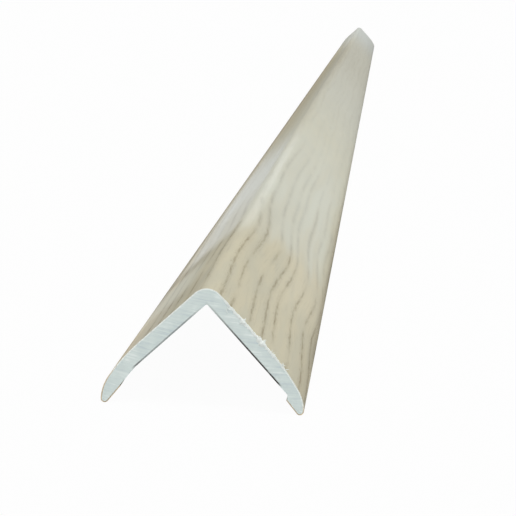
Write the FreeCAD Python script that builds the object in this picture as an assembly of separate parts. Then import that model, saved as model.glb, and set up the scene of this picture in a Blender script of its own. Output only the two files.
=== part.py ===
import FreeCAD, Part
import math
import os

from FreeCAD import Vector

# Corner guard moulding: a straight angle extruded in pale rigid PVC and wrapped with a wood-grain film.
# Two legs meet at a right angle. Each leg is flat on its back for the adhesive. Its outer face is flat
# near the corner, then bends over in a long crown and a tight tip arc to a small nose. A lip behind the
# nose closes the edge against the wall: the right leg's lip starts with a step, the left leg's is one
# long taper. The film covers the outer face, goes round the nose and ends part of the way up the lip.
# The moulding lies on its two noses with the corner up, as it comes to rest by itself.
# Millimetres, +Y along the length, +Z up, origin on the floor below the middle of the corner.

# Stock length and the section over the finished film
length = 2400.0
leg_width = 28.0
corner_radius = 3.1
crown_radius = 37.6
crown_turn_degrees = 12.2
tip_radius = 7.7

# The two layers of the wall, and the PVC at the inner corner and the nose
body_wall = 2.6
film_thickness = 0.2
inner_radius = 0.3
nose_radius = 0.5

# Right lip: how far its nose drops behind the back, its slope, and the step between it and the back
right_lip_drop = 0.8
right_lip_degrees = 3.5
right_lip_length = 2.9
right_step_degrees = 44.0

# Left lip: one slope from the nose to the back, with the film on its first stretch
left_lip_drop = 1.1
left_lip_degrees = 8.2
left_lip_length = 3.4

# Sizes that both legs share. A place in a section is (u, v): u runs down a leg from the inner corner
# and v out of the leg's back.
wall = body_wall + film_thickness
over_nose = nose_radius + film_thickness
crown_turn = math.radians(crown_turn_degrees)
crown_v = wall - crown_radius
tip_v = crown_v + (crown_radius - tip_radius) * math.cos(crown_turn)
corner_centre = (corner_radius - wall, wall - corner_radius)

# The right leg is as wide as stated, and the left leg ends where both noses stand on one floor
right_nose = (leg_width - wall - over_nose, nose_radius - right_lip_drop)
left_nose = (right_nose[0] + right_lip_drop - left_lip_drop, nose_radius - left_lip_drop)
inner_height = (right_nose[0] - right_nose[1]) / math.sqrt(2) + over_nose


def on_circle(centre, radius, turn):
    """Point of a circle in leg coordinates, with the turn counted from the outward direction."""
    return centre[0] + radius * math.sin(turn), centre[1] + radius * math.cos(turn)


class Leg:
    """One leg of the section: side is 1 for the right one and -1 for the left one."""

    def __init__(self, side, nose, lip_degrees, lip_length, step_degrees):
        self.side = side
        self.nose = nose
        self.lip_turn = math.pi + math.radians(lip_degrees)
        self.lip_length = lip_length
        # The nose is tangent to the tip arc, which sets how far that arc turns
        self.tip_turn = math.acos((nose[1] - tip_v) / (tip_radius - over_nose))
        tip_u = nose[0] - (tip_radius - over_nose) * math.sin(self.tip_turn)
        self.tip = (tip_u, tip_v)
        self.crown = (tip_u - (crown_radius - tip_radius) * math.sin(crown_turn), crown_v)
        # The step rises from the film's end to the back
        step_start = self.lip_end(film_thickness)
        self.bed_u = step_start[0] + step_start[1] / math.tan(math.radians(step_degrees))

    def place(self, point):
        """Point of the near end in the moulding's own frame."""
        u, v = point
        across = self.side * (u + v) / math.sqrt(2)
        return Vector(across, -length / 2, inner_height + (v - u) / math.sqrt(2))

    def line(self, start, end):
        return Part.LineSegment(self.place(start), self.place(end)).toShape()

    def arc(self, centre, radius, first_turn, last_turn):
        turns = (first_turn, (first_turn + last_turn) / 2, last_turn)
        points = [self.place(on_circle(centre, radius, turn)) for turn in turns]
        return Part.Arc(*points).toShape()

    def lip_end(self, inset):
        """Where the film is cut square, this far below the film's surface."""
        start = on_circle(self.nose, over_nose - inset, self.lip_turn)
        along = self.lip_length * math.cos(self.lip_turn)
        out = -self.lip_length * math.sin(self.lip_turn)
        return start[0] + along, start[1] + out

    def show_side(self, inset):
        """From the corner round the nose to the film's end, this far below the film's surface."""
        flat_start = on_circle(corner_centre, corner_radius - inset, 0)
        flat_end = on_circle(self.crown, crown_radius - inset, 0)
        nose_end = on_circle(self.nose, over_nose - inset, self.lip_turn)
        return [
            self.line(flat_start, flat_end),
            self.arc(self.crown, crown_radius - inset, 0, crown_turn),
            self.arc(self.tip, tip_radius - inset, crown_turn, self.tip_turn),
            self.arc(self.nose, over_nose - inset, self.tip_turn, self.lip_turn),
            self.line(nose_end, self.lip_end(inset)),
        ]

    def back(self):
        """From the film's end up the step and along the adhesive bed to the inner fillet."""
        bed_end = (self.bed_u, 0)
        return [
            self.line(self.lip_end(film_thickness), bed_end),
            self.line(bed_end, (inner_radius, 0)),
        ]

    def film_cut(self):
        return [self.line(self.lip_end(0), self.lip_end(film_thickness))]


right_leg = Leg(1, right_nose, right_lip_degrees, right_lip_length, right_step_degrees)
left_leg = Leg(-1, left_nose, left_lip_degrees, left_lip_length, left_lip_degrees)


def show_side(inset):
    """The whole show side, from one film end over the rounded corner to the other."""
    corner = right_leg.arc(corner_centre, corner_radius - inset, -math.pi / 2, 0)
    return left_leg.show_side(inset) + [corner] + right_leg.show_side(inset)


def extrude(edges):
    """Solid of the full length on the closed outline that the edges make."""
    outline = Part.Wire(Part.sortEdges(edges)[0])
    return Part.Face(outline).extrude(Vector(0, length, 0))


def make_profile():
    """The extruded angle: the show side under the film, the two backs and the fillet between them."""
    fillet = right_leg.arc((inner_radius, -inner_radius), inner_radius, -math.pi / 2, 0)
    return extrude(show_side(film_thickness) + left_leg.back() + right_leg.back() + [fillet])


def make_film():
    """The wrapped film: one thin layer on the show side, cut square at both ends."""
    cuts = left_leg.film_cut() + right_leg.film_cut()
    return extrude(show_side(0) + cuts + show_side(film_thickness))


os.makedirs("parts", exist_ok=True)
make_profile().exportStep("parts/pvc_profile.step")
make_film().exportStep("parts/woodgrain_film.step")
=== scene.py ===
# %% [markdown]
# A corner guard moulding is a straight plastic angle that protects the outside corner of a wall. This
# one is extruded in pale PVC, wrapped with a printed oak film and cut to length with a saw.
# The CAD model already has the right shape, so it is loaded first as a fixed frame. Blender adds what a
# solid can't hold: the grain of the film, the marks of the saw and the burr that the saw leaves.

# %% Load the frame and note its box
import math
import random

import bpy
import numpy as np
from mathutils import Matrix, Vector, noise
from mathutils.geometry import delaunay_2d_cdt


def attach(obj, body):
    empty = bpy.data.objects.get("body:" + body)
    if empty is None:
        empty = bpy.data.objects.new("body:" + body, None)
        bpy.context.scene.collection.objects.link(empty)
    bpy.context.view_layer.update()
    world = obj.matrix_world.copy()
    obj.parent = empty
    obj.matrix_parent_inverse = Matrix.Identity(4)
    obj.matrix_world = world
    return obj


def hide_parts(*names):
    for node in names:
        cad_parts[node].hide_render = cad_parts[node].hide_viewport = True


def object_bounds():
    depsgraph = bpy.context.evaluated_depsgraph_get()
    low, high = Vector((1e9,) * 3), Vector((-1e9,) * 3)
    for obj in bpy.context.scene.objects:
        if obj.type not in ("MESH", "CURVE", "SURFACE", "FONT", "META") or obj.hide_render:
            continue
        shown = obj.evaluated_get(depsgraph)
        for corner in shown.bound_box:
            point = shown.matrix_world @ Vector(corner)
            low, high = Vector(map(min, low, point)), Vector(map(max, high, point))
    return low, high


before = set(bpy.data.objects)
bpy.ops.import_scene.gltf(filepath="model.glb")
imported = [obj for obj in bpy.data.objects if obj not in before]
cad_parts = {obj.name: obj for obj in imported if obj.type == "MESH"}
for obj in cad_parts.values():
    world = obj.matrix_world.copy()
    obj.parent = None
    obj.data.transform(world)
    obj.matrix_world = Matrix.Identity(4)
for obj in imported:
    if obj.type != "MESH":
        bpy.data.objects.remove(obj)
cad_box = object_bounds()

near_end = cad_box[0].y
far_end = cad_box[1].y
print("nodes", sorted(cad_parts), "length", round(far_end - near_end, 4))

# %% [markdown]
# The whole moulding follows from one section, drawn in leg coordinates: u runs down a leg from the inner
# corner and v points out of its back. Each leg is flat near the corner, bends over in a long crown and a
# tight tip, and turns back round a small nose to a lip. These are lines and arcs that meet smoothly, so a
# few sizes in metres say everything. The CAD mesh could be used as it is, but its coarse arcs would show
# as facets.

# %% Sizes of the section
leg_width = 0.028
wall = 0.0028
film_thickness = 0.0002
corner_radius = 0.0031
crown_radius = 0.0376
crown_turn = math.radians(12.2)
tip_radius = 0.0077
inner_radius = 0.0003
nose_radius = 0.0007

right_lip_drop = 0.0008
right_lip_slope = math.radians(3.5)
right_lip_length = 0.0029
right_step_slope = math.radians(44)
left_lip_drop = 0.0011
left_lip_slope = math.radians(8.2)
left_lip_length = 0.0034

bare_nose = nose_radius - film_thickness
right_nose = (leg_width - wall - nose_radius, bare_nose - right_lip_drop)
left_nose = (right_nose[0] + right_lip_drop - left_lip_drop, bare_nose - left_lip_drop)
inner_height = (right_nose[0] - right_nose[1]) / math.sqrt(2) + nose_radius
crown_v = wall - crown_radius
tip_v = crown_v + (crown_radius - tip_radius) * math.cos(crown_turn)
corner_centre = (corner_radius - wall, wall - corner_radius)
print("inner corner stands", round(inner_height * 1000, 3), "mm above the floor")

# %% [markdown]
# The section is sampled as rows of u, v and turn, the direction that the surface faces. A bevelled curve
# could draw it too, but wouldn't tell the facing. With it, the film's underside is the same rows moved
# inwards, the burr can stand up from the surface, and the distance along the rows is the film's flat
# coordinate.

# %% Straight runs and bends
across_step = 0.00012


def straight(start, end, turn):
    """Rows along a straight run that faces one way."""
    count = max(1, round(math.dist(start, end) / across_step))
    share = np.linspace(0, 1, count + 1)[:, None]
    places = (1 - share) * np.array(start) + share * np.array(end)
    return np.column_stack([places, np.full(count + 1, turn)])


def bend(centre, radius, first, last):
    """Rows along an arc, from one facing to another."""
    count = round(abs(last - first) * radius / across_step)
    turns = np.linspace(first, last, count + 1)
    return np.column_stack([
        centre[0] + radius * np.sin(turns),
        centre[1] + radius * np.cos(turns),
        turns,
    ])


corner_rows = bend(corner_centre, corner_radius, -math.pi / 2, 0)
print("the rounded corner takes", len(corner_rows), "rows")

# %% [markdown]
# Both legs are made alike: a flat, the crown, the tip, the nose and the lip. Bevelling a rough outline
# would round it too, but not with these exact radii. Each arc starts where the one before it ends and
# faces the same way there. The nose touches the tip arc from inside, which sets how far the tip turns.

# %% The rows of one leg
def leg_rows(nose, lip_slope, lip_length):
    """The film's surface on one leg, from the end of the corner arc to the film's own end on the lip."""
    tip_turn = math.acos((nose[1] - tip_v) / (tip_radius - nose_radius))
    tip = (nose[0] - (tip_radius - nose_radius) * math.sin(tip_turn), tip_v)
    crown = (tip[0] - (crown_radius - tip_radius) * math.sin(crown_turn), crown_v)
    lip_turn = math.pi + lip_slope
    pieces = [
        straight((corner_centre[0], wall), (crown[0], wall), 0),
        bend(crown, crown_radius, 0, crown_turn),
        bend(tip, tip_radius, crown_turn, tip_turn),
        bend(nose, nose_radius, tip_turn, lip_turn),
    ]
    lip_start = pieces[-1][-1, :2]
    lip_run = lip_length * np.array([math.cos(lip_turn), -math.sin(lip_turn)])
    pieces.append(straight(lip_start, lip_start + lip_run, lip_turn))
    return np.vstack([pieces[0]] + [piece[1:] for piece in pieces[1:]])


right_rows = leg_rows(right_nose, right_lip_slope, right_lip_length)
left_rows = leg_rows(left_nose, left_lip_slope, left_lip_length)
print(len(right_rows), "rows on the right leg,", len(left_rows), "on the left")

# %% [markdown]
# The moulding lies on its two noses, so each leg leans by 45 degrees. Two meshes could be turned and
# joined, but with a seam along the ridge. Turning the rows gives one unbroken walk from the left edge of
# the film to the right, counted from the ridge and below zero on the left leg.

# %% The whole show side
diagonal = math.sqrt(0.5)


def place(rows, side):
    """Leg rows as x, z and the facing's x, z in the moulding's frame. The right leg has side 1."""
    u, v, turn = rows.T
    out_u = np.sin(turn)
    out_v = np.cos(turn)
    return np.column_stack([
        side * (u + v) * diagonal,
        inner_height + (v - u) * diagonal,
        side * (out_u + out_v) * diagonal,
        (out_v - out_u) * diagonal,
    ])


show_side = np.vstack([
    place(left_rows, -1)[::-1],
    place(corner_rows, 1)[1:-1],
    place(right_rows, 1),
])
show_place = show_side[:, :2]
show_facing = show_side[:, 2:]
walked = np.concatenate([[0], np.cumsum(np.linalg.norm(np.diff(show_place, axis=0), axis=1))])
ridge_index = len(left_rows) + len(corner_rows) // 2 - 1
across = walked - walked[ridge_index]
print(len(show_side), "rows,", round(walked[-1] * 1000, 2), "mm of film from edge to edge")

# %% [markdown]
# Meshes are built from plain arrays. One helper makes the object, shades it smooth, and keeps every edge
# sharp that turns by more than a given angle. So the long arcs look round while the sawn edges stay
# crisp, with no bevel to add by hand.

# %% A helper that turns arrays into a piece
sharp_angle = math.radians(35)


def add_object(name, data):
    """A new object in the scene that holds a mesh, a lamp or a camera."""
    holder = bpy.data.objects.new(name, data)
    bpy.context.collection.objects.link(holder)
    return holder


def make_piece(name, corners, faces):
    mesh = bpy.data.meshes.new(name)
    mesh.from_pydata([tuple(corner) for corner in corners], [], faces)
    mesh.validate()
    mesh.shade_smooth()
    mesh.set_sharp_from_angle(angle=sharp_angle)
    print(name, len(mesh.vertices), "corners,", len(mesh.polygons), "faces")
    return add_object(name, mesh)


def grid_faces(rows, columns, first=0, flip=False, closed=False):
    """Quads between the corners of a grid that is stored row by row."""
    faces = []
    for row in range(rows - 1):
        for column in range(columns if closed else columns - 1):
            a = first + row * columns + column
            b = first + row * columns + (column + 1) % columns
            quad = (a, b, b + columns, a + columns)
            faces.append(quad[::-1] if flip else quad)
    return faces


def tube_faces(rows, sides, flip=False):
    """Faces of a tube whose rings are stored one after another, with a flat face at each end."""
    ends = [tuple(range(sides))[::-1], tuple(range((rows - 1) * sides, rows * sides))]
    if flip:
        ends = [end[::-1] for end in ends]
    return grid_faces(rows, sides, flip=flip, closed=True) + ends


print("edges stay sharp past", round(math.degrees(sharp_angle)), "degrees")

# %% [markdown]
# The PVC has the same section everywhere, so its sides are a plain extrusion of a closed outline: under
# the film over the show side, up the step behind each lip, along the flat adhesive bed and round the
# small inner fillet. Booleans could cut it from a solid, but the same rows keep it in touch with the
# film.

# %% The closed outline of the PVC
def back_points(rows, step_slope, side):
    """Places on the back of one leg, from the film's end up the step and along the adhesive bed."""
    lip_end = rows[-1, :2] - film_thickness * np.array([math.sin(rows[-1, 2]), math.cos(rows[-1, 2])])
    bed_end = np.array([lip_end[0] + lip_end[1] / math.tan(step_slope), 0])
    step = straight(lip_end, bed_end, math.pi)
    bed = straight(bed_end, (inner_radius, 0), math.pi)
    return place(np.vstack([step[1:], bed[1:]]), side)[:, :2]


under_film = show_place - film_thickness * show_facing
fillet_rows = bend((inner_radius, -inner_radius), inner_radius, 0, -math.pi / 2)
outline = np.vstack([
    under_film,
    back_points(right_rows, right_step_slope, 1),
    place(fillet_rows, 1)[1:-1, :2],
    back_points(left_rows, left_lip_slope, -1)[::-1],
])
print("outline of", len(outline), "points")

# %% [markdown]
# A saw never leaves an end flat: its teeth leave shallow arcs round the blade's axle. A bump in the
# material could suggest them, but the near end is what the camera sees closest. So the marks are real.
# Noise that changes fast away from the axle and slowly along the arcs presses each point in by about a
# hundredth of a millimetre.

# %% Saw marks
blade_axle = Vector((0.012, 0.118))
mark_depth = 0.000006
wide_marks_per_mm = 1.1
fine_marks_per_mm = 3.7
near_cut_seed = 2.0
far_cut_seed = 31.0


def saw_depth(x, z, seed):
    """How deep the saw has gone at a point of an end, in metres."""
    ring = (Vector((x, z)) - blade_axle).length * 1000
    wide = noise.noise((ring * wide_marks_per_mm, seed, x * 40))
    fine = noise.noise((ring * fine_marks_per_mm, seed + 9, x * 60))
    return mark_depth * (1.2 + wide + 0.6 * fine)


deepest = max(saw_depth(x, z, near_cut_seed) for x, z in outline)
print("the saw marks are up to", round(deepest * 1000, 4), "mm deep")

# %% [markdown]
# One face with many corners could close an end, but it has no points inside to press in. So a constrained
# triangulation fills the outline: it keeps the outline's edges and joins them to a grid of points. Points
# too close to the outline would make slivers that shade badly, so they are left out.

# %% The triangles of a sawn end
cap_spacing = 0.00022
cap_row_height = 0.87 * cap_spacing
cap_clearance = 0.6 * cap_spacing
merge_distance = 1e-9


def inside_points():
    """A grid of staggered rows over the outline's box, without the points close to the outline."""
    lows = outline.min(axis=0)
    highs = outline.max(axis=0)
    points = []
    for row, z in enumerate(np.arange(lows[1], highs[1], cap_row_height)):
        shift = cap_spacing / 2 * (row % 2)
        for x in np.arange(lows[0] + shift, highs[0], cap_spacing):
            points.append((x, z))
    points = np.array(points)
    gaps = np.full(len(points), 1.0)
    for corner in outline[::2]:
        gaps = np.minimum(gaps, np.hypot(*(points - corner).T))
    return points[gaps > cap_clearance]


def cap_triangles():
    """One end as points, triangles, and each point's place on the outline, which is None inside."""
    ring = len(outline)
    points = [Vector(point) for point in np.vstack([outline, inside_points()])]
    edges = [(i, (i + 1) % ring) for i in range(ring)]
    made = delaunay_2d_cdt(points, edges, [], 1, merge_distance)
    on_ring = [min(origin) if origin and min(origin) < ring else None for origin in made[3]]
    return made[0], made[2], on_ring


cap_points, cap_faces, cap_ring = cap_triangles()
print("sawn end of", len(cap_faces), "triangles")

# %% [markdown]
# The body is the outline at stations along the length, joined by quads, with a sawn end stitched to the
# first and the last. Extruding by hand would give the same shape, but here the faces come in a known
# order, which the texture map needs. The ends stop a little short of the frame's box, so that the burr
# can stand proud.

# %% Build the PVC body
body_rows = 25
cut_room = 0.00022


def stitch_end(corners, first, inward, seed):
    """Adds the points inside one sawn end to the corners and returns its triangles."""
    y = corners[first][1]
    numbers = {}
    for i in sorted({i for face in cap_faces for i in face}):
        if cap_ring[i] is None:
            x, z = cap_points[i]
            numbers[i] = len(corners)
            corners.append((x, y + inward * saw_depth(x, z, seed), z))
        else:
            numbers[i] = first + cap_ring[i]
    triangles = [[numbers[i] for i in face] for face in cap_faces]
    return triangles if inward > 0 else [triangle[::-1] for triangle in triangles]


def build_body():
    ring = len(outline)
    stations = np.linspace(near_end + cut_room, far_end - cut_room, body_rows)
    corners = [(x, y, z) for y in stations for x, z in outline]
    faces = grid_faces(body_rows, ring, closed=True)
    faces += stitch_end(corners, 0, 1, near_cut_seed)
    faces += stitch_end(corners, (body_rows - 1) * ring, -1, far_cut_seed)
    return make_piece("pvc_angle_profile", corners, faces)


body = build_body()

# %% [markdown]
# A finish that is baked into a picture needs a place there for each face. An automatic unwrap would give
# the small sawn ends a few pixels beside the long plain sides. So the sides are squeezed into the lower
# part of the map, and the two ends lie large above them.

# %% Lay the body out for textures
side_share = 0.46
end_share = 0.48
map_margin = 0.01


def lay_out(piece):
    layer = piece.data.uv_layers.new(name="OFBake")
    ring = len(outline)
    steps = np.linalg.norm(np.roll(outline, -1, axis=0) - outline, axis=1)
    run = np.concatenate([[0], np.cumsum(steps)]) / steps.sum()
    lows = outline.min(axis=0)
    width = np.ptp(outline[:, 0])
    for face in piece.data.polygons:
        row, column = divmod(face.index, ring)
        for spot, loop in enumerate(face.loop_indices):
            if row < body_rows - 1:
                u = run[column + (spot in (1, 2))]
                v = side_share * (row + (spot > 1)) / (body_rows - 1)
            else:
                x, y, z = piece.data.vertices[piece.data.loops[loop].vertex_index].co
                u = map_margin + end_share * (x - lows[0]) / width + (0.5 if y > 0 else 0)
                v = side_share + 2 * map_margin + end_share * (z - lows[1]) / width
            layer.data[loop].uv = (u, v)


lay_out(body)
print("a sawn end takes", end_share, "of the map's width")

# %% [markdown]
# The film is a real layer, 0.2 mm thick. The saw pulls a little of it away, so its edge steps back
# unevenly from the PVC. A ragged mask in the material would look pasted on from the side, so the edge
# itself is torn, by coarse and fine noise.

# %% The torn edge of the film
tear_depth = 0.00016
tear_floor = 0.00003
coarse_tears_per_metre = 900
fine_tears_per_metre = 3300
near_tear_seed = 1.5
far_tear_seed = 40.5


def tear(distance, seed):
    """How far the film's edge has been pulled back from the cut, in metres."""
    coarse = noise.noise((distance * coarse_tears_per_metre, seed, 0.3))
    fine = noise.noise((distance * fine_tears_per_metre, seed + 5, 0.7))
    return tear_floor + tear_depth * max(0, 0.35 + 0.7 * coarse + 0.5 * fine)


longest_tear = max(tear(distance, near_tear_seed) for distance in across)
print("the near edge is pulled back by up to", round(longest_tear * 1000, 2), "mm")

# %% [markdown]
# The film is a printed face, a glued underside and a rim that closes them. A Solidify modifier could add
# the thickness, but plain faces give the rim its own material. Each corner keeps its flat place, across
# from the ridge and along from the near end, like the sheet before it was wrapped, so that the grain goes
# round the corner without a seam.

# %% Build the wrapped film
film_rows = 25


def film_stations(distance):
    """Places along the length for one row of the section, with torn ends."""
    start = near_end + cut_room + tear(distance, near_tear_seed)
    end = far_end - cut_room - tear(distance, far_tear_seed)
    inner = np.linspace(near_end, far_end, film_rows)[1:-1]
    return np.concatenate([[start], inner, [end]])


def rim_faces(columns, under):
    """Quads between the printed face and the underside, whose corners start at the number under."""
    last = (film_rows - 1) * columns
    faces = []
    for i in range(columns - 1):
        faces.append((i + 1, i, under + i, under + i + 1))
        faces.append((last + i, last + i + 1, under + last + i + 1, under + last + i))
    for row in range(film_rows - 1):
        a = row * columns
        b = a + columns
        faces.append((a, b, under + b, under + a))
        a += columns - 1
        b += columns - 1
        faces.append((b, a, under + a, under + b))
    return faces


def build_film():
    columns = len(show_place)
    along = np.array([film_stations(distance) for distance in across]).T
    corners = []
    for surface in (show_place, under_film):
        for row in range(film_rows):
            corners += [(x, along[row, i], z) for i, (x, z) in enumerate(surface)]
    under = film_rows * columns
    printed = grid_faces(film_rows, columns)
    glued = grid_faces(film_rows, columns, first=under, flip=True)
    piece = make_piece("oak_film_wrap", corners, printed + glued + rim_faces(columns, under))
    sheet = piece.data.uv_layers.new(name="sheet")
    for loop in piece.data.loops:
        row, column = divmod(loop.vertex_index % under, columns)
        sheet.data[loop.index].uv = (across[column], along[row, column] - near_end)
    for face in piece.data.polygons[len(printed):]:
        face.material_index = 1
    return piece


film = build_film()

# %% [markdown]
# Where the teeth leave the cut they push up a rim of torn plastic: a bright ragged line on the right leg,
# thinner towards the tip and gone near the corner. It could be sculpted, but one number for its strength
# at each distance from the ridge is easier to tune: a smooth fade, roughened by noise, with a few tufts.

# %% How strong the burr is
burr_start = 0.0024
burr_end = 0.0212
burr_thins_from = 0.0142
burr_thins_to = 0.0176
burr_thinned_by = 0.55
coarse_burrs_per_metre = 1300
fine_burrs_per_metre = 5200
tuft_places = (0.0084, 0.0127, 0.0136, 0.0164, 0.0190)
tuft_width = 0.00035


def burr_size(distance, seed):
    """Share of the full burr at a distance from the ridge."""
    middle = (burr_start + burr_end) / 2
    fade = max(0, 1 - (abs(distance - middle) / (middle - burr_start)) ** 4)
    thinning = (distance - burr_thins_from) / (burr_thins_to - burr_thins_from)
    fade *= 1 - burr_thinned_by * min(1, max(0, thinning))
    coarse = noise.noise((distance * coarse_burrs_per_metre, seed, 2.1))
    fine = noise.noise((distance * fine_burrs_per_metre, seed, 8.4))
    tufts = sum(math.exp(-((distance - spot) / tuft_width) ** 2) for spot in tuft_places)
    return fade * max(0.15, 0.55 + 0.6 * coarse + 0.5 * fine + 0.8 * tufts)


rise_seed = 3.0
print("the strongest burr is", round(max(burr_size(distance, rise_seed) for distance in across), 2))

# %% [markdown]
# A bright line in the material could stand for the burr, but its outline shows against the film. So it is
# a ribbon that sits astride the PVC's edge, stands proud of the sawn face and laps over the film. Its
# rise, reach, root and front follow its strength with four seeds, so that they don't swell in step.

# %% Build the burr
burr_height = 0.00024
burr_reach = 0.00045
burr_root = 0.00042
burr_proud = 0.00016
most_proud = 1.3
reach_seed = 11.0
root_seed = 17.0
proud_seed = 23.0
raggedness = 0.55


def burr_section(distance):
    """Corners of the burr's section: lift out of the film's surface, and run back from the cut."""
    rise = burr_height * burr_size(distance, rise_seed)
    reach = burr_reach * burr_size(distance, reach_seed)
    root = film_thickness + burr_root * burr_size(distance, root_seed)
    proud = burr_proud * min(most_proud, burr_size(distance, proud_seed))
    return (
        (-root, 0.00002),
        (-0.6 * root, -0.5 * proud),
        (-0.2 * film_thickness, -proud),
        (0.6 * rise, -0.6 * proud),
        (rise, 0.2 * reach),
        (0.5 * rise, reach),
        (-0.5 * film_thickness, 0.6 * reach),
        (-0.7 * root, 0.0001),
    )


def build_burr():
    chosen = [i for i, distance in enumerate(across) if burr_start < distance < burr_end]
    start = near_end + cut_room
    corners = []
    for i in chosen:
        section = burr_section(across[i])
        for side, (lift, back) in enumerate(section):
            ragged = 1 + raggedness * noise.noise((across[i] * 9000, side * 1.7, 4.0))
            x, z = show_place[i] + ragged * lift * show_facing[i]
            corners.append((x, start + max(ragged * back, -0.9 * cut_room), z))
    return make_piece("saw_burr", corners, tube_faces(len(chosen), len(section), flip=True))


burr = build_burr()

# %% [markdown]
# A few loose threads of swarf still hang on the burr. Each is a short strand that bends as it goes and
# tapers at both ends. A bevelled curve or hair could make it, but a small tube round a row of points is
# a plain mesh from the start.

# %% One thread of swarf
strand_sides = 5
strand_steps = 9
across_strands = Vector((0.3, 0.8, 0.5))


def strand(points, thickness):
    """Corners and faces of a thin strand that tapers towards both ends of a row of points."""
    corners = []
    for i, point in enumerate(points):
        ahead = points[min(i + 1, len(points) - 1)] - points[max(i - 1, 0)]
        side = ahead.cross(across_strands).normalized()
        other = ahead.cross(side).normalized()
        radius = thickness * math.sin(math.pi * (i + 0.7) / (len(points) + 0.4))
        for k in range(strand_sides):
            turn = math.tau * k / strand_sides
            corners.append(point + radius * (math.cos(turn) * side + math.sin(turn) * other))
    return corners, tube_faces(len(points), strand_sides)


def thread_points(distance, depth, front, lean, curl, length, drift):
    """A bent path from a place on the end: lean is its angle from the edge, drift its run along +Y."""
    i = int(np.argmin(abs(across - distance)))
    out = Vector((show_facing[i][0], 0, show_facing[i][1]))
    down = Vector((out.z, 0, -out.x))
    point = Vector((show_place[i][0], near_end + cut_room - front, show_place[i][1])) - depth * out
    points = [point]
    for step in range(strand_steps):
        angle = lean + curl * step / strand_steps
        heading = math.cos(angle) * down + math.sin(angle) * out + Vector((0, drift, 0))
        point = point + heading * length / strand_steps
        points.append(point)
    return points


print("a thread has", (strand_steps + 1) * strand_sides, "corners")

# %% [markdown]
# The threads start near the tufts and lean, curl and drift at random, from a fixed seed so that every run
# makes the same ones. Two longer squiggles near the corner are listed one by one. All are joined in one
# piece, since none is ever moved by itself.

# %% Build the swarf
swarf_seed = 12
threads_per_tuft = 4
thread_thickness = 0.00006
tuft_spread = 0.0006
tuft_front = 0.0001
squiggle_front = 0.00003


def squiggles():
    """The two threads on the sawn face near the corner."""
    return [
        thread_points(0.0050, 0.0003, squiggle_front, lean=-1.9, curl=2.6, length=0.0014, drift=0.0),
        thread_points(0.0057, 0.0002, squiggle_front, lean=-2.3, curl=-1.3, length=0.0011, drift=0.0),
    ]


def build_swarf():
    chance = random.Random(swarf_seed)
    paths = squiggles()
    for spot in tuft_places:
        for _ in range(threads_per_tuft):
            distance = spot + chance.uniform(-tuft_spread, tuft_spread)
            lean = chance.uniform(0.3, 2.8)
            curl = chance.uniform(-1.5, 1.5)
            length = chance.uniform(0.0003, 0.0009)
            drift = chance.uniform(0.0, 0.7)
            paths.append(thread_points(distance, 0.0, tuft_front, lean, curl, length, drift))
    corners = []
    faces = []
    for points in paths:
        more_corners, more_faces = strand(points, thread_thickness)
        faces += [tuple(len(corners) + i for i in face) for face in more_faces]
        corners += more_corners
    return make_piece("saw_swarf", corners, faces)


swarf = build_swarf()

# %% [markdown]
# A dressed part is only of use if it follows its CAD model. Each piece rides on the moulding's one body.
# The profile and the film replace the CAD solids, which are hidden, and the burr and the swarf are extra.
# Parenting by hand would move them too, but wouldn't say which solids they stand for.

# %% Hang the pieces on the frame
for piece, node, slot in (
    (body, "pvc_profile", "pvc"),
    (film, "woodgrain_film", "film"),
    (burr, None, "pvc"),
    (swarf, None, "pvc"),
):
    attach(piece, "root")
    if node:
        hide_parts(node)
    print(piece.name, "has the slot", slot, "and stands for", node or "no solid")

# %% [markdown]
# Shader maths reads best as formulas. This small class wraps a socket, so that Python's own operators add
# the Math nodes, and one method adds any other node by its type, its settings and the values or links of
# its sockets. The tree could be drawn in the shader editor, but a formula is easier to read and change.

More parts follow.
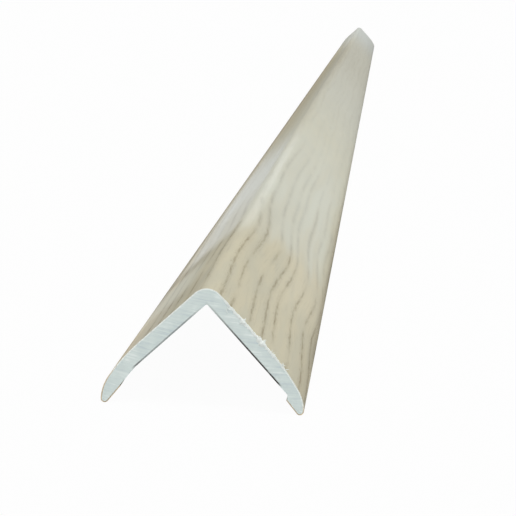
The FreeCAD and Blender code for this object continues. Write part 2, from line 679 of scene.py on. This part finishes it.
# %% A socket that can be used in formulas
class Shade:
    def __init__(self, tree, socket=None):
        self.tree = tree
        self.socket = socket

    def node(self, kind, settings=None, sockets=None, output=0):
        """A new node, as one of its outputs."""
        made = self.tree.nodes.new(kind)
        for name, value in (settings or {}).items():
            setattr(made, name, value)
        self.fill(made, sockets or {})
        return Shade(self.tree, self.find(made.outputs, output))

    def other(self, output):
        """Another output of the same node."""
        return Shade(self.tree, self.find(self.socket.node.outputs, output))

    def find(self, sockets, name):
        if isinstance(name, int):
            return sockets[name]
        return next(s for s in sockets if s.enabled and name in (s.name, s.identifier))

    def fill(self, node, sockets):
        """Links or sets several input sockets of a node."""
        for name, value in sockets.items():
            socket = self.find(node.inputs, name)
            if isinstance(value, Shade):
                self.tree.links.new(value.socket, socket)
            else:
                socket.default_value = value

    def maths(self, operation, *values):
        return self.node("ShaderNodeMath", {"operation": operation}, dict(enumerate(values)))

    def __add__(self, other):
        return self.maths("ADD", self, other)

    def __radd__(self, other):
        return self.maths("ADD", other, self)

    def __sub__(self, other):
        return self.maths("SUBTRACT", self, other)

    def __rsub__(self, other):
        return self.maths("SUBTRACT", other, self)

    def __mul__(self, other):
        return self.maths("MULTIPLY", self, other)

    def __rmul__(self, other):
        return self.maths("MULTIPLY", other, self)

    def __truediv__(self, other):
        return self.maths("DIVIDE", self, other)

    def __rtruediv__(self, other):
        return self.maths("DIVIDE", other, self)

    def ramp(self, low, high):
        """0 below low, 1 above high, with a smooth step between. It falls where low is above high."""
        sockets = {"Value": self, "From Min": low, "From Max": high}
        return self.node("ShaderNodeMapRange", {"interpolation_type": "SMOOTHSTEP"}, sockets)

    def band(self, start, full, fading, end):
        """0 up to start, 1 from full to fading, and 0 again past end."""
        return self.ramp(start, full) * self.ramp(end, fading)

    def blend(self, low, high):
        """A colour between two others, with this value as the share of the second."""
        sockets = {"Factor": self, "A": low, "B": high}
        return self.node("ShaderNodeMix", {"data_type": "RGBA"}, sockets, "Result_Color")

    def vector(self, x, y, z):
        return self.node("ShaderNodeCombineXYZ", None, {"X": x, "Y": y, "Z": z})

    def apart(self):
        """The x, y and z of a vector."""
        made = self.node("ShaderNodeSeparateXYZ", None, {"Vector": self})
        return made.other("X"), made.other("Y"), made.other("Z")

    def noise(self, spot, detail=2.0, roughness=0.5):
        sockets = {"Vector": spot, "Scale": 1.0, "Detail": detail, "Roughness": roughness}
        return self.node("ShaderNodeTexNoise", {"noise_dimensions": "3D"}, sockets)

    def bump(self, height, strength, distance):
        sockets = {"Height": height, "Strength": strength, "Distance": distance}
        return self.node("ShaderNodeBump", None, sockets)


print("formulas can use", [name for name in vars(Shade) if "_" not in name])

# %% [markdown]
# Colours are easiest to name as they look on a screen, but a shader works with amounts of light, so a
# helper turns one into the other. Every material here starts with Blender's Principled shader, and a
# second helper makes the two at once.

# %% Helpers for materials
def linear(red, green, blue):
    """A colour that is named by its screen values, 0 to 255, as the light that a shader works with."""
    def channel(value):
        share = value / 255
        return share / 12.92 if share <= 0.04045 else ((share + 0.055) / 1.055) ** 2.4
    return (channel(red), channel(green), channel(blue), 1.0)


def start_material(name):
    """A new material with its Principled shader, and a Shade to write its formulas with."""
    material = bpy.data.materials.new(name)
    material.use_nodes = True
    shader = material.node_tree.nodes["Principled BSDF"]
    return material, shader, Shade(material.node_tree)


print("a screen grey of 128 is", round(linear(128, 128, 128)[0], 3), "of the light of white")

# %% [markdown]
# Sawn PVC has streaks along the same arcs as the saw marks, since the teeth smear the plastic. They could
# be painted, but the distance to the blade's axle gives them directly. They belong on faces that look
# along the length, so the facing decides how much of them shows. Lengths are in millimetres here.

# %% Streaks of the saw
streaks_per_mm = 2.6


def body_millimetres(shade):
    """The place on the moulding, as x, y and z in millimetres."""
    x, y, z = shade.node("ShaderNodeTexCoord", None, None, "Object").apart()
    return x * 1000, y * 1000, z * 1000


def sawn_faces(shade):
    """1 on faces that look along the length and 0 on the long sides."""
    _, lengthways, _ = shade.node("ShaderNodeNewGeometry", None, None, "True Normal").apart()
    return shade.maths("ABSOLUTE", lengthways).ramp(0.6, 0.9)


def saw_streaks(shade, x, y, z):
    """Noise that is drawn out along arcs round the blade's axle."""
    axle_x = x - blade_axle.x * 1000
    axle_z = z - blade_axle.y * 1000
    ring = shade.maths("SQRT", axle_x * axle_x + axle_z * axle_z)
    return shade.noise(shade.vector(ring * streaks_per_mm, x * 0.12, y * 0.02), 3.0, 0.7)


print("streaks run round an axle", round(blade_axle.y * 1000), "mm above the floor")

# %% [markdown]
# A dark line is painted along the inner edges of the cut: painted shade for the shadow under the
# moulding, seen just past the edge. It is heavier on the right leg, grows from the corner outwards and
# stops before the lips. A thin dark strip of mesh would look too clean, so it is a mask: full at the
# edge, gone a third of a millimetre away from it, and broken up by slow noise.

# %% Painted shade on the inner edge
edge_shade_full = 0.18
edge_shade_width = 0.36
edge_shade_stops_from = 16.2
edge_shade_stops_to = 17.5
right_shade_further = 2
left_inner_shade = 0.55
left_inner_blot = 0.3


def inner_edge_shade(shade, x, z):
    """Share of painted shade near the inner edges of a section: the shadow under the moulding seen past
    them.
    """
    sideways = shade.maths("ABSOLUTE", x)
    from_back = (sideways + z - inner_height * 1000) * diagonal
    down_leg = (sideways - z + inner_height * 1000) * diagonal
    right = x.ramp(-1, 1)
    inner_shade_right = right * down_leg.ramp(-4, 11)
    inner_shade_left = down_leg.ramp(0, 5) * left_inner_shade + down_leg.ramp(14.6, 15.6) * left_inner_blot
    inner_shade = inner_shade_right + (1 - right) * inner_shade_left
    before_lip = (down_leg - right * right_shade_further).ramp(edge_shade_stops_to, edge_shade_stops_from)
    breakup = shade.noise(shade.vector(down_leg * 0.4, x * 0.1, 7.0)).ramp(0.05, 0.45)
    return from_back.ramp(edge_shade_width, edge_shade_full) * breakup * inner_shade * before_lip


print("dirt reaches", edge_shade_width, "mm from the inner edges")

# %% [markdown]
# Rigid PVC is matt, cold white and a little cloudy. One tone carries the streaks and the clouds, and two
# blends turn it into three colours: shaded, plain, and pale where the plastic is smeared. A single blend
# would be simpler, but its middle would shift whenever one end is changed.

# %% The sawn PVC
pvc_plain = linear(199, 210, 207)
pvc_shaded = linear(184, 196, 198)
pvc_smeared = linear(217, 225, 222)
# painted shade: the dark colour of the line along the inner edges
pvc_painted_shade = linear(40, 37, 33)
plain_tone = 0.02
tone_reach = 0.36


def pvc_material():
    material, shader, shade = start_material("cold_white_pvc")
    x, y, z = body_millimetres(shade)
    sawn = sawn_faces(shade)
    streaks = saw_streaks(shade, x, y, z)
    cloud = shade.noise(shade.vector(x * 0.35, y * 0.05, z * 0.35))
    tone = (streaks - 0.5) * sawn * 1.4 + (cloud - 0.5) * 1.1
    colour = tone.ramp(-tone_reach, plain_tone).blend(pvc_shaded, pvc_plain)
    colour = tone.ramp(plain_tone, tone_reach).blend(colour, pvc_smeared)
    shade.fill(shader, {
        # the sawn PVC is darkened towards its inner edges by painted shade
        "Base Color": (inner_edge_shade(shade, x, z) * sawn).blend(colour, pvc_painted_shade),
        "Roughness": 0.5 + streaks * 0.16,
        "Normal": shade.bump(streaks * sawn, 0.18, 0.00003),
        "Specular IOR Level": 0.3,
    })
    return material


body.data.materials.append(pvc_material())
print("the PVC's material has", len(body.active_material.node_tree.nodes), "nodes")

# %% [markdown]
# Torn plastic is whiter than sawn plastic, because its loose fibres scatter the light. With the PVC's
# own material the burr would drown in the sawn face, so it gets a lighter one with a fine even speckle.
# The swarf came off the same cut and shares it.

# %% The torn burr
burr_fibres_per_metre = 4000.0
burr_dull = linear(210, 217, 213)
burr_bright = linear(232, 236, 231)


def speckles(shade, per_metre):
    """Even noise with about this many grains to a metre."""
    spot = shade.node("ShaderNodeTexCoord", None, None, "Object")
    scaled = shade.node("ShaderNodeVectorMath", {"operation": "SCALE"}, {0: spot, "Scale": per_metre})
    return shade.noise(scaled)


def burr_material():
    material, shader, shade = start_material("torn_white_pvc")
    fibres = speckles(shade, burr_fibres_per_metre)
    shade.fill(shader, {
        "Base Color": fibres.blend(burr_dull, burr_bright),
        "Roughness": 0.5 + fibres * 0.2,
        "Specular IOR Level": 0.25,
    })
    return material


torn_white = burr_material()
burr.data.materials.append(torn_white)
swarf.data.materials.append(torn_white)
print("the burr's material has", len(torn_white.node_tree.nodes), "nodes")

# %% [markdown]
# The film shows whitewashed oak: a warm beige ground with grey-brown pore lines. A picture of a board
# could be wrapped on it, but it would turn soft close up. Formulas stay sharp, in millimetres of the flat
# sheet: across from the ridge, below zero on the left leg, and along from the near end. A mask is a ramp
# between two distances: across_mm.ramp(-1, -4) is 0 up to the ridge and 1 from 4 mm down the left leg.

# %% Places on the sheet
def sheet_millimetres(shade):
    """Distances across from the ridge and along from the near end, on the film before it was wrapped."""
    sideways, lengthways, _ = shade.node("ShaderNodeUVMap", {"uv_map": "sheet"}).apart()
    return sideways * 1000, lengthways * 1000


oak_print, oak_shader, oak = start_material("whitewashed_oak_print")
across_mm, along_mm = sheet_millimetres(oak)
left_leg = across_mm.ramp(-1, -4)
print("the sheet runs from", round(across[0] * 1000, 1), "to", round(across[-1] * 1000, 1), "mm across")

# %% [markdown]
# Pore lines follow the rings of a tree, so they sway together. Instead of drawing that into each line,
# the sheet is bent under them: slow noise, a wave, a knee where all lines shift aside, and a small tremor
# are added to the distance across. The result is called lane, and whatever is drawn straight in it sways
# on the film.

# %% The sway of the grain
wave_start = 3
wave_length = 19.4 * math.tau
knee_from = 125
knee_to = 215
knee_shift = 2.2
lane_shift = -1.3


def grain_noise(sideways, width, length, seed, detail=1.0):
    """Noise in streaks along the sheet that are about this wide and long, in millimetres."""
    return oak.noise(oak.vector(sideways / width, along_mm / length, seed), detail)


slow = grain_noise(across_mm, 40, 170, 3.0, 0.0) - 0.5
tremor = grain_noise(across_mm, 2, 7, 11.0) - 0.5
wave = oak.maths("COSINE", (along_mm - wave_start) * (math.tau / wave_length) + slow * 3)
swing = wave * (0.2 + along_mm.ramp(260, 90) * 0.8) * (0.42 + across_mm * 0.02)
knee = along_mm.ramp(knee_from, knee_to) * knee_shift
lane = across_mm + lane_shift + knee - swing + slow * 4.0 + tremor * 0.55
print("the lines sway once every", round(wave_length), "mm")

# %% [markdown]
# A pore line is the middle of a cell of a one-dimensional Voronoi across the lanes. A wave texture would
# space the lines evenly, but these are a little uneven, as rings are, and each has a number of its own.
# With that number it breaks off and starts again at other places, and finer noise splits it into the
# strokes of open pores.

# %% The pore lines
line_pitch = 3.35
pitch_randomness = 0.4

cell = oak.node(
    "ShaderNodeTexVoronoi",
    {"voronoi_dimensions": "1D", "feature": "F1"},
    {"W": lane / line_pitch, "Scale": 1.0, "Randomness": pitch_randomness},
    "Distance",
)
from_line = cell * line_pitch
line_number = oak.node("ShaderNodeSeparateColor", None, {"Color": cell.other("Color")}, "Red")
unbroken = grain_noise(line_number * 90, 1, 34, 0.0).ramp(0.34, 0.56)
strokes = grain_noise(lane, 1 / 1.3, 8, 21.0).ramp(0.3, 0.68)
print("pore lines lie about", line_pitch, "mm apart")

# %% [markdown]
# Between the lines the print has faint streaks, single pores that crowd near the lines, and clouds of a
# greyer tone. Without them the lines would look like pinstripes. Each is one noise that is stretched
# along the grain and cut by a ramp, so that only its peaks show.

# %% Streaks, pores and clouds
pore_width = 1 / 7
pore_length = 3.5

faint_streaks = grain_noise(lane, 1 / 1.9, 28, 33.0, 2.0).ramp(0.52, 0.78)
pores = grain_noise(lane, pore_width, pore_length, 41.0).ramp(0.55, 0.72)
porous = from_line.ramp(1.2, 0.2) * unbroken
halo = from_line.ramp(1.1, 0.1) * (0.3 + unbroken * 0.7)
cloud = grain_noise(across_mm, 3.2, 38, 51.0, 2.0).ramp(0.35, 0.7)
print("single pores are about", pore_length, "mm long")

# %% [markdown]
# Beyond a slanting edge some way from the near end the film is glossier, and a paler colour with softer
# lines is painted on it: painted glare for the sheen that the film shows along its length at a low angle.
# The edge is a distance: one value counts millimetres beyond its uneven line, and ramps of that say where
# the stretch lies and how strong its painted glare is.

# %% Where the glossy stretch and its painted glare begin
glare_start = 104.0
glare_slant = 36.0
left_glare_later = 4
glare_blur = 20
glare_run = 130

patches = grain_noise(lane, 2.8, 130, 61.0).ramp(0.3, 0.7)
tongue = across_mm.band(1, 2.5, 5, 7.5)
slant = across_mm.ramp(-2, 15) * glare_slant
glare_edge = glare_start + slant + left_leg * left_glare_later + tongue * 4 + tremor * 8 + (1 - patches) * 12
past_glare_edge = along_mm - glare_edge
glare_stretch = past_glare_edge.ramp(-glare_blur, glare_blur)
before_glare = 1 - glare_stretch
crisp = 0.7 - tongue * 0.35
# painted glare: how much pale colour stands for the sheen in this stretch
glare_share = glare_stretch * crisp + past_glare_edge.ramp(0, glare_run) * (1 - crisp)
print("the foil begins between", glare_start, "and", glare_start + glare_slant, "mm from the near end")

# %% [markdown]
# Light falls unevenly on the long film, and most of these zones carry painted light: painted shade on the
# left leg beyond the first third of a metre, on the ridge and along both outer edges, a painted highlight
# that makes the left tip tan, painted shade that greys the print far along, and a painted bluish
# reflection with painted shade on the far end. Masks could be painted, but each zone is a simple place on
# the sheet, so it is a product of ramps.

# %% Zones of the film
# painted shade on the left leg beyond 330 mm
shaded_left = across_mm.ramp(4, -15) * along_mm.ramp(330, 650)
ridge = across_mm.band(-4, -0.5, 0.5, 3.2)
right_tip = across_mm.ramp(20.5, 26) * (1 - along_mm.ramp(260, 480) * 0.85)
# painted shade along both outer edges, where the film turns away
right_silhouette_shade = across_mm.ramp(24, 27.6) * along_mm.band(20, 80, 200, 900)
left_silhouette_shade = (across_mm - along_mm.ramp(150, 700) * 2).ramp(-17.3, -19.3)
left_tip = oak.maths("MAXIMUM", left_silhouette_shade, across_mm.ramp(-13.5, -18) * 0.6)
# painted bluish reflection and painted shade on the far end
far_end_sheen_and_shade = along_mm.ramp(1650, 2250)
before_far_end = 1 - along_mm.ramp(1350, 1900)
# painted shade that greys the print far along
greyer_far = along_mm.ramp(300, 900) * (1 - shaded_left)
print(len(oak.tree.nodes), "nodes up to the zones")

# %% [markdown]
# The glossy stretch is painted paler, which is painted glare, most of all in its first 300 mm and least
# at the tips. The left leg has a painted grey sheen besides, and far along a painted glare lies beside
# the ridge. Each of these is a share of a pale colour over the print.

# %% Painted glare, painted sheen and the coat's gloss
glare_everywhere = 0.11
glare_at_start = 0.25
glare_further_on = 0.3
mottling = 0.22

# painted glare: a pale colour over the print in the glossy stretch
glare_level = along_mm.ramp(560, 300) * glare_at_start + along_mm.ramp(1300, 400) * glare_further_on
mottle = (patches - 0.5) * (1 - along_mm.ramp(250, 500) * 0.7) * mottling
less_glare_at_tips = (1 - right_tip * 0.8) * (1 - left_tip * 0.9) * (1 - right_silhouette_shade * 0.5)
painted_glare = glare_share * (glare_level + glare_everywhere + mottle) * (1 - shaded_left) * less_glare_at_tips
# painted sheen on the left leg, which also raises the coat there
left_sheen_end = (along_mm - across_mm * 10).ramp(580, 330)
left_sheen = left_leg * along_mm.ramp(160, 260) * left_sheen_end * (1 - left_tip)
gloss = glare_stretch * along_mm.ramp(560, 330) * (1 - across_mm.ramp(17, 24)) * (1 - left_tip)
# painted glare beside the ridge, far along
far_glare = across_mm.band(-12, -5, -4, 0) * along_mm.ramp(1400, 2000)
print(len(oak.tree.nodes), "nodes up to the haze")

# %% [markdown]
# The stretch near the cut shows use: a pale band is worn into the left leg, the right leg is rubbed and
# the left tip is polished. A band of painted shade darkens the left leg before the glare's edge. Decals
# would need a mesh each, while masks cost little, and the glossy stretch's own mask cuts them off.

# %% Wear and a band of painted shade
worn_left = across_mm.ramp(-5, -10) * along_mm.band(25, 50, 70, 95) * before_glare
rubbed_right = across_mm.ramp(10, 17) * along_mm.ramp(50, 95) * before_glare
polished_left = across_mm.band(-22, -19.5, -12, -8) * (1 - left_tip * glare_stretch)
# painted shade: a darker band on the left leg just before the glare's edge
shade_before_glare = left_leg * past_glare_edge.ramp(-34, -12) * before_glare * (0.05 + across_mm.ramp(-5, -13) * 0.3)
print(len(oak.tree.nodes), "nodes up to the wear")

# %% [markdown]
# Whatever darkens the print goes into one sum: the pore lines, the softer marks round them, and the
# painted shade of the zones. The glossy stretch lets less of the marks through, and far along they blur
# out. Dark layers would multiply where they cross, while a sum that stops at 1 never gets darker than the
# ink.

# %% How dark the print is
line_width = 0.42
line_core = 0.05

smooth_tip = across_mm.ramp(18, 23) * along_mm.ramp(90, 140) * 0.6
showing = (1 - glare_stretch * along_mm.ramp(230, 480) * 0.85) * (1 - smooth_tip)
under_glare = 1 - glare_stretch * (0.35 + left_leg * 0.3)
lines = from_line.ramp(line_width, line_core) * unbroken * (0.12 + strokes * 0.32) * showing * under_glare
soft_marks = halo * (0.12 + glare_stretch * 0.27) + faint_streaks * 0.12 + pores * (0.04 + porous * 0.3)
# painted shade: left leg, its first centimetres, ridge, far stretch, both outer edges and the far end
painted_shade = (
    shaded_left * (0.15 + along_mm.ramp(550, 950) * 0.12) * before_far_end
    + left_leg * along_mm.ramp(50, 20) * (0.12 + across_mm.ramp(-8, -12) * 0.08)
    + ridge * (0.05 + along_mm.ramp(220, 520) * 0.22) * before_far_end
    + along_mm.ramp(950, 1400) * (1 - shaded_left) * 0.12
    + right_tip * (0.18 - along_mm.ramp(60, 120) * 0.07)
    + right_silhouette_shade * 0.5
    + far_end_sheen_and_shade * across_mm.ramp(8, 22) * 0.42
)
dark = oak.maths("MINIMUM", lines + soft_marks * showing + painted_shade + shade_before_glare, 1.0)
print(len(oak.tree.nodes), "nodes up to the dark marks")

# %% [markdown]
# The colours are laid on in this order: the clouded ground, the tan of the left tip, which is a painted
# highlight, the painted shade of its edge and of the far stretch, and the ink, then painted glare and
# sheen with the pale of the worn band, the far end's painted bluish reflection and the painted glare
# beside the ridge over the print. Each step is one Mix between two colours. Math nodes would turn the
# colours grey, so only the shares are formulas.

# %% Colours of the print
oak_ground = linear(199, 193, 170)
oak_grey = linear(193, 189, 169)
oak_ink = linear(136, 126, 104)
# oak_tan lightens the left tip as a painted highlight
oak_tan = linear(225, 213, 185)
# painted shade of the outer edges and the far stretch, painted glare and sheen (also the worn band's
# pale), painted bluish reflection, painted glare
oak_silhouette_shade = linear(194, 187, 167)
oak_far_shade = linear(184, 184, 175)
glare_and_wear_pale = linear(209, 212, 200)
far_reflection_blue = linear(201, 209, 210)
far_glare_white = linear(236, 236, 228)

ground = cloud.blend(oak_ground, oak_grey)
# painted highlight on the left tip
warmed = (left_tip + rubbed_right * 0.16).blend(ground, oak_tan)
silhouette_shaded = (left_silhouette_shade * along_mm.ramp(50, 80)).blend(warmed, oak_silhouette_shade)
far_shaded = (greyer_far * 0.75).blend(silhouette_shaded, oak_far_shade)
inked = dark.blend(far_shaded, oak_ink)
# painted glare and sheen over the print, with the pale of the worn band
with_glare = (painted_glare + worn_left * 0.4 + rubbed_right * 0.08 + left_sheen * 0.28).blend(inked, glare_and_wear_pale)
far_reflected = (far_end_sheen_and_shade * 0.48).blend(with_glare, far_reflection_blue)
film_colour = (far_glare * 0.45).blend(far_reflected, far_glare_white)
print(len(oak.tree.nodes), "nodes up to the colours")

# %% [markdown]
# The print is matt, and what shines is its glossier stretch. The Principled shader's coat is made for
# that:
# its weight follows the glossy stretch, the left sheen and the polished tip. The lines and pores are
# pressed into the film, so they also feed a faint bump.

# %% Finish of the film
coat_everywhere = 0.02
line_emboss_depth = 0.00004

polish = polished_left * along_mm.ramp(700, 300)
pressed_in = lines + pores * (0.2 + porous * 0.5)
oak.fill(oak_shader, {
    "Base Color": film_colour,
    "Roughness": 0.5 + dark * 0.2,
    "Coat Weight": coat_everywhere + gloss * (0.2 + left_leg * 0.22) + left_sheen * 0.2 + polish * 0.16,
    "Coat Roughness": 0.2,
    "Normal": oak.bump(1 - pressed_in, 0.25, line_emboss_depth),
    "Specular IOR Level": 0.0,
})
film.data.materials.append(oak_print)
print("the oak print has", len(oak.tree.nodes), "nodes")

# %% [markdown]
# The film is printed on one side only, so its cut edge shows the stuff it is made of: cream white along
# the legs and tan round the noses. Grain would smear over such a narrow edge. It has faces of its own,
# so it simply gets a second material.

# %% The cut edge of the film
core_grains_per_metre = 2500.0
core_white = (linear(214, 219, 214), linear(228, 232, 228))
core_tan = (linear(176, 156, 124), linear(206, 190, 162))


def film_core_material():
    material, shader, shade = start_material("cream_film_core")
    grains = speckles(shade, core_grains_per_metre)
    sideways, _ = sheet_millimetres(shade)
    nose = sideways.ramp(-20, -25) + sideways.ramp(26, 28)
    shade.fill(shader, {
        "Base Color": nose.blend(grains.blend(*core_white), grains.blend(*core_tan)),
        "Roughness": 0.6,
    })
    return material


film.data.materials.append(film_core_material())
print("the film has the materials", [material.name for material in film.data.materials])

# %% [markdown]
# The stage is a plain white floor. A lit floor never comes out as white as paper, and a glowing one would
# swallow the shadow, so both are mixed: rays from the camera and from reflections see mostly its own
# white, and the rest takes the light like any matt floor and keeps a soft shadow.

# %% The floor
floor_half = 45.0
floor_own_white = 0.97
floor_flecks_per_metre = 6.0
floor_tones = (linear(194, 194, 194), linear(200, 200, 200))
paper_white = (1.0, 1.0, 1.0, 1.0)


def floor_material():
    material, shader, shade = start_material("white_paper_floor")
    shade.fill(shader, {
        "Base Color": speckles(shade, floor_flecks_per_metre).blend(*floor_tones),
        "Roughness": 0.9,
        "Specular IOR Level": 0.0,
    })
    seen = shade.node("ShaderNodeLightPath", None, None, "Is Camera Ray")
    for mirrored in ("Is Glossy Ray", "Is Transmission Ray"):
        seen = shade.maths("MAXIMUM", seen, shade.node("ShaderNodeLightPath", None, None, mirrored))
    own = shade.node("ShaderNodeEmission", None, {"Color": paper_white, "Strength": 1.0})
    lit = Shade(shade.tree, shader.outputs["BSDF"])
    both = shade.node("ShaderNodeMixShader", None, {0: seen * floor_own_white, 1: lit, 2: own})
    shade.fill(material.node_tree.nodes["Material Output"], {"Surface": both})
    return material


floor_corners = [(x * floor_half, y * floor_half, 0) for x, y in ((-1, -1), (1, -1), (1, 1), (-1, 1))]
floor = make_piece("studio_floor", floor_corners, [(0, 1, 2, 3)])
floor.data.materials.append(floor_material())

# %% [markdown]
# The light is a pale room and two soft lamps. A key from above on the right makes the right face the
# brighter one, and a weaker fill from the front lights the sawn end. Area lamps would fall off along such
# a long piece. Sun lamps light all of it alike, and their wide angle keeps the shadow soft.

# %% A pale room and two soft suns
room_strength = 0.42

world = bpy.data.worlds.new("pale_room")
world.use_nodes = True
background = world.node_tree.nodes["Background"]
background.inputs["Color"].default_value = paper_white
background.inputs["Strength"].default_value = room_strength
bpy.context.scene.world = world


def soft_sun(name, towards, level, angle_degrees):
    """A distant soft lamp. A matt white face that looks straight at it shows this level."""
    lamp = bpy.data.lights.new(name, "SUN")
    lamp.energy = level * math.pi
    lamp.angle = math.radians(angle_degrees)
    holder = add_object(name, lamp)
    holder.rotation_mode = "QUATERNION"
    holder.rotation_quaternion = Vector(towards).to_track_quat("Z", "Y")
    print(name, "shines at", level)


soft_sun("key", towards=(0.32, -0.3, 0.9), level=0.6, angle_degrees=25)
soft_sun("front_fill", towards=(-0.1, -0.9, 0.4), level=0.34, angle_degrees=40)

# %% [markdown]
# The film is seen at a very low angle, so its glossy places mirror what stands beyond the far end, and
# the real one has a bright streak along its ridge. A brighter world would pale the whole film, but a low
# panel there is mirrored by the ridge alone. Blender hides lamps from the camera itself.

# %% A panel for the ridge to mirror
panel_place = Vector((-0.09, 2.0, 0.285))
panel_aim = Vector((0.0, -1.0, 0.02))
panel_width = 0.30
panel_height = 0.20
panel_brightness = 1.0

panel = bpy.data.lights.new("ridge_panel", "AREA")
panel.shape = "RECTANGLE"
panel.size = panel_width
panel.size_y = panel_height
panel.energy = panel_brightness * math.pi * panel_width * panel_height
panel_facing = (panel_place - panel_aim).to_track_quat("Z", "Y").to_matrix().to_4x4()
add_object("ridge_panel", panel).matrix_world = Matrix.Translation(panel_place) @ panel_facing
print("the panel is", panel_width, "by", panel_height, "m")

# %% [markdown]
# The camera stands in front of the near end, a little above it, and looks down the length. Its place,
# angles and long lens come from fitting the section's outline to the sawn end and the long edges to their
# vanishing point. By eye, the end or the length would come right, but hardly both.

# %% The camera
camera_place = Vector((0.02728, -1.63164, 0.07531))
turned_left = math.radians(2.513)
tilted_down = math.radians(6.409)
rolled = math.radians(3.440)
focal_length = 177.27

lens = bpy.data.cameras.new("camera")
lens.sensor_width = 36.0
lens.lens = focal_length
lens.clip_start = 0.01
lens.clip_end = 200.0
camera = add_object("camera", lens)
aim = Matrix.Rotation(turned_left, 4, "Z") @ Matrix.Rotation(math.pi / 2 - tilted_down, 4, "X")
camera.matrix_world = Matrix.Translation(camera_place) @ aim @ Matrix.Rotation(rolled, 4, "Z")
bpy.context.scene.camera = camera
bpy.context.scene.view_settings.view_transform = "Standard"
print("the camera stands", round(near_end - camera_place.y, 3), "m in front of the near end")

# %% [markdown] Blender only dresses the part, so the dressed box has to stay inside the CAD box.
